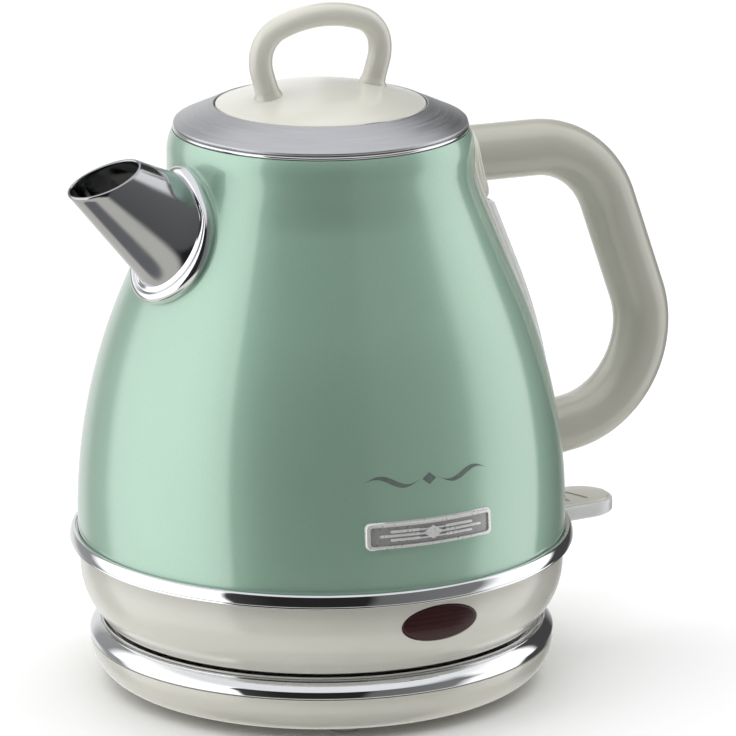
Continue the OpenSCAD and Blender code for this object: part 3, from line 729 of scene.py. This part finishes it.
def make_body():
    shell = lathe("body_painted_shell", body_outline(0) + body_outline(-WALL)[::-1],
                  "mint_paint", "kettle", ["body_shell"])
    hole = [spout_point(a, s, 0.15) for s in (18, 46) for a in full_turn(SPOUT_COUNT)]
    ports = [rod((40, 0, z), (100, 0, z), 2.5) for z in (92, 146)]
    cut(shell, make("cutter", hole, tube_faces(2, SPOUT_COUNT)), *ports)


def make_spout():
    """The cone, from its rolled lip down to a small flare at its root, with a wall inside."""
    angles = full_turn(SPOUT_COUNT)
    flare, flare_reach, lip_back, sunk = 2.2, 2.6, 0.5, -0.5
    outer, inner = [], []
    for share in evenly(0, 1, 30):
        outer.append([])
        inner.append([])
        for a in angles:
            start = mouth_start(a) + lip_back
            end = reach_body(lambda s: spout_point(a, s), sunk)
            end_in = reach_body(lambda s: spout_point(a, s, -SPOUT_T), sunk)
            s = start + (end - start) * share
            outer[-1].append(spout_point(a, s, flare * math.exp((s - end) / flare_reach)))
            inner[-1].append(spout_point(a, start + (end_in - start) * share, -SPOUT_T))
    lip = [[spout_point(a, mouth_start(a) + back, grow) for a in angles]
           for grow, back in ((-0.12, 0.15), (-0.5, 0.0), (-0.88, 0.15))]
    rows = outer[::-1] + lip + inner
    faces = rows_to_faces(len(rows) + 1, SPOUT_COUNT)
    total = len(rows) * SPOUT_COUNT
    faces = [[i % total for i in face] for face in faces]
    make("spout_steel", joined(rows), faces, "polished_steel", "kettle", ["spout"], sharp=50)


def make_spout_collar():
    """A bulged ring between the spout's root and a slanted circle on the body."""
    axis = Vector((math.cos(COLLAR_TILT), 0, -math.sin(COLLAR_TILT)))
    up = Vector((math.sin(COLLAR_TILT), 0, math.cos(COLLAR_TILT)))
    rows = []
    for a in full_turn(SPOUT_COUNT):
        def wide(s):
            return (COLLAR_AT + axis * (s - 30) + up * COLLAR_R * math.sin(a)
                    + Vector((0, COLLAR_R * math.cos(a), 0)))
        root_s = reach_body(lambda s: spout_point(a, s), 0)
        root = spout_point(a, root_s)
        rim = wide(reach_body(wide, 0, 0, 60))
        out = body_normal((root + rim) / 2)
        across = rim - root
        knots = [spout_point(a, root_s - 3.6, 0.35)] + [
            root + across * share + out * rise for share, rise in
            ((0.12, 2.9), (0.34, 3.7), (0.64, 3.7), (0.90, 2.9), (1.04, 1.2), (0.98, -0.05))]
        rows.append(curve_through(knots) + [root + across * 0.1 - out * 0.05])
    width = len(rows[0])
    total = len(rows) * width
    faces = [[i % total for i in face] for face in rows_to_faces(len(rows) + 1, width)]
    make("spout_collar_chrome", joined(rows), faces, "chrome", "kettle", ["spout_collar"], sharp=60)


# ---- Badge and printed ornament ----

def block_outline(half_w, half_h, corner, z):
    """Rounded rectangle about a height."""
    return [(y, z + h) for y, h in rounded([(-half_w, -half_h, corner), (half_w, -half_h, corner),
                                            (half_w, half_h, corner), (-half_w, half_h, corner)])]


def make_badge():
    border, seat, frame_t, plate_t = 1.3, 0.05, 1.3, 0.7
    frame_line = block_outline(BADGE_W, BADGE_H, 1.8, BADGE_Z)
    inner_line = block_outline(BADGE_W - border, BADGE_H - border, 0.9, BADGE_Z)
    rim = pad("badge_frame_chrome", body_radius, BADGE_ANGLE, frame_line, seat, frame_t, 0.6,
              "chrome", "kettle", ["badge_frame"])
    cut(rim, pad("cutter", body_radius, BADGE_ANGLE, inner_line, -2, 4, 0.05))
    plate = pad("badge_plate_steel", body_radius, BADGE_ANGLE, inset(inner_line, 0.03), seat, plate_t, 0.1,
                "brushed_steel", "kettle", ["badge_plate"])
    rim.data.materials[0] = materials["satin_silver"]
    plate.data.materials[0] = materials["satin_plate"]

    half_w, half_h = 3.4, 2.2
    diamond = [(-half_w, BADGE_Z), (0, BADGE_Z - half_h), (half_w, BADGE_Z), (0, BADGE_Z + half_h)]
    pad("badge_diamond", body_radius, BADGE_ANGLE, diamond, plate_t - 0.2, 1.25, 0.2,
        "satin_silver", "kettle")
    bar_start, bar_half_h = 4.6, 0.42
    for side, label in ((-1, "left"), (1, "right")):
        for row, reach in ((-1.35, 14.5), (0, 18), (1.35, 14.5)):
            half = (reach - bar_start) / 2
            bar = [(y + side * (bar_start + half), z)
                   for y, z in block_outline(half, bar_half_h, 0.4, BADGE_Z + row)]
            pad(f"badge_bar_{label}_{row}", body_radius, BADGE_ANGLE, bar, plate_t - 0.2, 1.15, 0.15,
                "satin_silver", "kettle")


def make_ornament():
    """Two printed leaves and a lozenge above the badge, in place of any wording."""
    ornament_z, print_t, tip, count = 87.5, 0.05, 0.03, 40
    points, faces = [], []
    for first, last, half_most, bend in ((-22, -3.4, 0.9, 1.5), (3.4, 22, 0.9, -1.5), (-2.4, 2.4, 1.9, 0)):
        start = len(points)
        for t in evenly(0, 1, count):
            y = first + (last - first) * t
            middle = ornament_z + bend * math.sin(2 * math.pi * t)
            half = tip + half_most * (math.sin(math.pi * t) ** 2 if bend else 1 - abs(2 * t - 1))
            points += [on_surface(body_radius, BADGE_ANGLE, y, z, print_t)
                       for z in (middle + half, middle - half)]
        faces += [[start + 2 * k, start + 2 * k + 1, start + 2 * k + 3, start + 2 * k + 2]
                  for k in range(count)]
    make("printed_ornament", points, faces, "print_grey", "kettle")


# ---- Gauge strip, handle and its root collar ----

def strip_outline(half_w, low, high):
    """Upright strip with a half round top."""
    return [(-half_w, low), (half_w, low)] + arc(0, high, half_w, 0, 180, 32)


def spread(outline, spacing=3.0):
    """Outline with its long straights divided."""
    result = []
    for k, point in enumerate(outline):
        here, ahead = Vector(point), Vector(outline[(k + 1) % len(outline)])
        count = max(1, round((ahead - here).length / spacing))
        result += [tuple(here.lerp(ahead, j / count)) for j in range(count)]
    return result


def make_gauge():
    strip_line = spread(strip_outline(STRIP_W, STRIP_LOW, STRIP_TOP))
    strip = pad("gauge_strip_cream", body_radius, 0, strip_line, 0.05, STRIP_PROUD, 0.7,
                "cream_gloss", "kettle", ["gauge_frame"])
    fit_w, fit_low, fit_top = WINDOW_W + 0.05, WINDOW_LOW - 0.05, WINDOW_TOP + 0.05
    cut(strip, box((30, -fit_w, fit_low), (110, fit_w, fit_top)))

    middle, half = (WINDOW_LOW + WINDOW_TOP) / 2, (WINDOW_TOP - WINDOW_LOW) / 2
    window_line = spread(block_outline(WINDOW_W, half, 1.0, middle))
    window = pad("gauge_window_clear", body_radius, 0, window_line, 1.5, WINDOW_PROUD, 1.6,
                 "clear_plastic", "kettle", ["gauge_window"])
    hollow_line = spread(block_outline(WINDOW_W - 2.5, half - 4, 0.5, middle - 1.5))
    hollow = pad("cutter", body_radius, 0, hollow_line, 1.0, WINDOW_PROUD - 1.6, 0.3)
    root = rod((30, 0, STRIP_TOP), (110, 0, STRIP_TOP), ROOT_R + 0.1, 96)
    cut(window, hollow, root)

    disc = oval(ROOT_R, ROOT_R, STRIP_TOP)
    pad("handle_root_collar", body_radius, 0, disc, STRIP_PROUD + 0.05, ROOT_PROUD - 1.3, 0.5,
        "cream_gloss", "kettle", ["handle_collar"])
    pad("handle_root_washer", body_radius, 0, inset(disc, 1.2), STRIP_PROUD + 1.6, ROOT_PROUD, 0.5,
        "cream_gloss", "kettle")


def make_handle():
    """A bent tube whose two ends are drawn out to the body's surface."""
    sunk = 0.3
    path = route(HANDLE_START, HANDLE_HEADING, HANDLE_STEPS)
    rings = [tube_ring(p, h, HANDLE_R) for p, h in path[1:]]
    first = [slide_to_body(v, heading_z(path[0][1]), sunk) for v in tube_ring(*path[0], HANDLE_R)]
    end_point, end_heading = path[-1]
    last = [slide_to_body(v, -heading_z(end_heading), sunk, -26, 2)
            for v in tube_ring(end_point, end_heading, HANDLE_R)]
    tail = [[a.lerp(b, k / 8) for a, b in zip(rings[-1], last)] for k in range(1, 9)]
    rings = [first] + rings + tail
    make("handle_grip", joined(rings), tube_faces(len(rings), TUBE), "cream_matte", "kettle", ["handle"])


# ---- Lid ----

def make_lid():
    plug_r = 44.0
    lathe("lid_chrome_rim", [(plug_r, LID_Z)] + arc(LID_R - 0.6, LID_Z + 0.6, 0.6, -90, 90, 8)
          + [(plug_r, LID_Z + 1.2)], "chrome", "lid", ["lid_rim"])
    lathe("lid_brushed_cone", [(LID_R - 2.2, CONE_LOW), (LID_R - 0.9, CONE_LOW)]
          + arc(LID_R - 1.0, CONE_LOW + 0.62, 0.6, -80, 62, 6)
          + [(DISC_R + 0.6, CONE_TOP), (DISC_R + 0.35, CONE_TOP - 0.1), (DISC_R + 0.35, LEDGE_Z),
             (LEDGE_R, LEDGE_Z), (LEDGE_R, LEDGE_Z - 0.9), (DISC_R + 4.5, LEDGE_Z - 0.9)],
          "brushed_steel", "lid", ["lid_shell"])
    dome = [((DISC_R - 0.7) * q, DISC_EDGE + DISC_RISE * (1 - q * q)) for q in evenly(1, 0, 24)]
    disc = lathe("lid_cream_disc", [(0, LEDGE_Z + 0.1), (DISC_R, LEDGE_Z + 0.1), (DISC_R, DISC_EDGE - 0.7),
                                    (DISC_R - 0.08, DISC_EDGE - 0.35), (DISC_R - 0.3, DISC_EDGE - 0.08)]
                 + dome, "cream_gloss", "lid", ["lid_disc"], closed=False)
    notch_w = 5.5
    cut(disc, box((-notch_w, -DISC_R - 1, DISC_EDGE - 1.2), (notch_w, -DISC_R + 0.4, DISC_EDGE + 1)))


def make_lid_loop():
    """A bent tube that flares a little where it meets the disc."""
    count, flare, flare_reach = 40, 1.0, 0.9
    path = route(LOOP_FOOT, 0, LOOP_STEPS, 0.8)
    lengths = [0.0]
    for (a, _), (b, _) in zip(path, path[1:]):
        lengths.append(lengths[-1] + (b - a).length)
    sunk = DISC_EDGE + DISC_RISE * (1 - (LOOP_FOOT.x / DISC_R) ** 2) - LOOP_FOOT.z
    rings = []
    for (spot, heading), along in zip(path, lengths):
        above = max(0.0, min(along, lengths[-1] - along) - sunk)
        rings.append(tube_ring(spot, heading, LOOP_R + flare * math.exp(-above / flare_reach), count))
    make("lid_loop_handle", joined(rings), tube_faces(len(rings), count),
         "cream_gloss", "lid", ["lid_loop"], sharp=60)


# ---- Switch lever ----

def slab(name, outline, low, high, edge, slot=None, body=None, replaces=(), crown=0.0):
    """A flat plate with rounded edges and a slight crown, from an outline seen from above."""
    rows = edge_rows(outline, low, -edge)[::-1] + edge_rows(outline, high, edge)
    count = len(outline)
    points = [(x, y, z) for line, z in rows for x, y in line]
    faces = rows_to_faces(len(rows), count) + [list(range(count))]
    fill = 6
    start = (len(rows) - 1) * count
    line = rows[-1][0]
    for share in evenly(0, 1, fill)[1:]:
        points += [(x, y * (1 - share), high + crown * (1 - (1 - share) ** 2)) for x, y in line]
    faces += rows_to_faces(fill + 1, count, start=start)
    return make(name, points, faces, slot, body, replaces)


def lever_outline(half_w, back, back_w):
    side = [(back, back_w), (LEVER_NECK_X - 1, back_w), (LEVER_NECK_X + 2, half_w)]
    front = arc(LEVER_REACH - LEVER_W, 0, half_w, -90, 90, 40)
    return spread([(x, -y) for x, y in side] + front + side[::-1], 2.5)


def make_lever():
    low, high = LEVER_Z
    top = slab("switch_lever_cream", lever_outline(LEVER_W - 1.2, LEVER_BACK, LEVER_NECK_W),
               low, high - 0.3, 0.7, "cream_gloss", "switch", ["switch_lever"], crown=0.3)
    groove_angle, groove_half, groove_r = math.radians(-72), 6.5, 0.7
    along = Vector((math.cos(groove_angle), math.sin(groove_angle), 0)) * groove_half
    grooves = []
    for k, groove_x in enumerate((91, 98)):
        middle = Vector((groove_x, 0, high - 0.1))
        start, end = middle - along, middle + along
        grooves.append(rod(start, end, groove_r, 16))
        # Black strips in the groove floors are painted shade: they stand for the shadow that falls in the
        # grooves.
        groove_shade = []
        for share, half in ((0.03, 0.08), (0.2, 0.5), (0.8, 0.5), (0.97, 0.08)):
            spot = start.lerp(end, share)
            groove_shade += [(spot.x + side * half, spot.y, z) for side, z in
                      ((-1, high - 0.75), (1, high - 0.75), (1, high - 0.45), (-1, high - 0.45))]
        make(f"lever_groove_painted_shade_{k}", groove_shade, tube_faces(4, 4), "black_plastic", "switch")
    cut(top, *grooves)
    rim = slab("switch_lever_rim", lever_outline(LEVER_W, LEVER_NECK_X + 1.0, LEVER_NECK_W + 1.0),
               low + 0.6, high - 0.9, 0.9, "clear_plastic", "switch", ["lever_rim"])
    inner = lever_outline(LEVER_W - 1.15, LEVER_BACK - 4, LEVER_NECK_W + 0.05)
    cut(rim, slab("cutter", inner, low - 5, high + 5, 0.01))


# ---- Studio ----

CAMERA_AT = Vector((AXIS * MM - 1.0, -1.73205, 0.6551))
CAMERA_DOWN, CAMERA_TURN = 15.39, -30.44
CAMERA_LENS, CAMERA_SENSOR = 309.18, 36
SURROUND_TURN = 30
SURROUND_LEAN, SURROUND_SCALE = -0.14, 0.962    # the panels' edges lean a little, as the flank reflects them
# Brightness of the surround, by degrees from the camera's direction, to the right in its picture.
SURROUND = ((-180, 0.95), (-150, 0.80), (-138, 0.35), (-122, 0.30), (-114, 1.30), (-44, 1.55), (-41, 0.05),
            (-20, 0.02), (20, 0.02), (25, 0.14), (72, 0.20), (82, 1.15), (119, 1.35), (124, 0.06),
            (150, 0.06), (166, 0.50), (180, 0.95))
# Parts of the surround above or below a height: where each begins, where it is full, and its colour.
SURROUND_LEVELS = ((0.60, 0.78, (0.86, 0.86, 0.88, 1)),
                   (-0.45, -0.62, (0.80, 0.78, 0.72, 1)),
                   (-0.84, -0.90, (0.22, 0.22, 0.23, 1)))


def make_floor():
    size, step = 6.0, 0.5
    count = int(2 * size / step) + 1
    lines = [(-size + step * k) / MM for k in range(count)]
    floor = make("studio_floor", [(x, y, 0) for y in lines for x in lines],
                 rows_to_faces(count, count, loop=False))
    floor.data.materials.append(materials["studio_floor"])
    floor.visible_glossy = False


def make_world():
    """Soft studio surround: white panels left and right, dark behind the camera, pale ceiling."""
    world = bpy.data.worlds.new("studio")
    bpy.context.scene.world = world
    world.use_nodes = True
    g = Nodes(world.node_tree)
    g.tree.nodes.clear()

    place = g.add("ShaderNodeTexCoord").outputs["Generated"]
    height = g.axes(place)["Z"]
    turn = g.add("ShaderNodeVectorRotate", rotation_type="Z_AXIS")
    g.feed(place, turn.inputs["Vector"])
    g.feed(math.radians(SURROUND_TURN), turn.inputs["Angle"])
    flat = g.axes(turn.outputs["Vector"])
    angle = g.maths("ARCTAN2", flat["X"], g.maths("MULTIPLY", flat["Y"], -1))
    lean = g.maths("MULTIPLY_ADD", height, SURROUND_LEAN, SURROUND_SCALE)
    share = g.remap(g.maths("MULTIPLY", angle, lean), (-math.pi, math.pi))
    colour = g.colours(share, *(((degrees + 180) / 360, [value] * 3) for degrees, value in SURROUND))
    for begin, full, level in SURROUND_LEVELS:
        colour = g.mix(g.remap(height, (begin, full), curve="SMOOTHSTEP"), colour, level)
    seen = g.add("ShaderNodeLightPath").outputs["Is Camera Ray"]
    back = g.add("ShaderNodeBackground")
    g.feed(g.mix(seen, colour, (1, 1, 1, 1)), back.inputs["Color"])
    g.feed(back.outputs["Background"], g.add("ShaderNodeOutputWorld").inputs["Surface"])


def make_top_panel():
    light = bpy.data.lights.new("top_panel", "AREA")
    light.shape = "RECTANGLE"
    light.size, light.size_y = 2.2, 2.2
    light.energy = 21
    lamp = bpy.data.objects.new("top_panel", light)
    lamp.location = (0, 0.1, 1.6)
    lamp.rotation_euler = (-lamp.location).to_track_quat("-Z", "Y").to_euler()
    lamp.visible_camera = False
    lamp.visible_glossy = False
    bpy.context.scene.collection.objects.link(lamp)


def make_studio():
    scene = bpy.context.scene
    scene.view_settings.view_transform = "Standard"
    data = bpy.data.cameras.new("camera")
    data.lens = CAMERA_LENS
    data.sensor_width = CAMERA_SENSOR
    camera = bpy.data.objects.new("camera", data)
    scene.collection.objects.link(camera)
    camera.location = CAMERA_AT
    camera.rotation_euler = (math.radians(90 - CAMERA_DOWN), 0, math.radians(CAMERA_TURN))
    scene.camera = camera
    make_floor()
    make_world()
    make_top_panel()


make_materials()
for node, piece in frame["nodes"].items():
    for place in piece.material_slots:
        place.material = materials[NODE_SLOTS[node]]
make_studio()
make_base()
make_housing()
make_body()
make_spout()
make_spout_collar()
make_badge()
make_ornament()
make_gauge()
make_handle()
make_lid()
make_lid_loop()
make_lever()
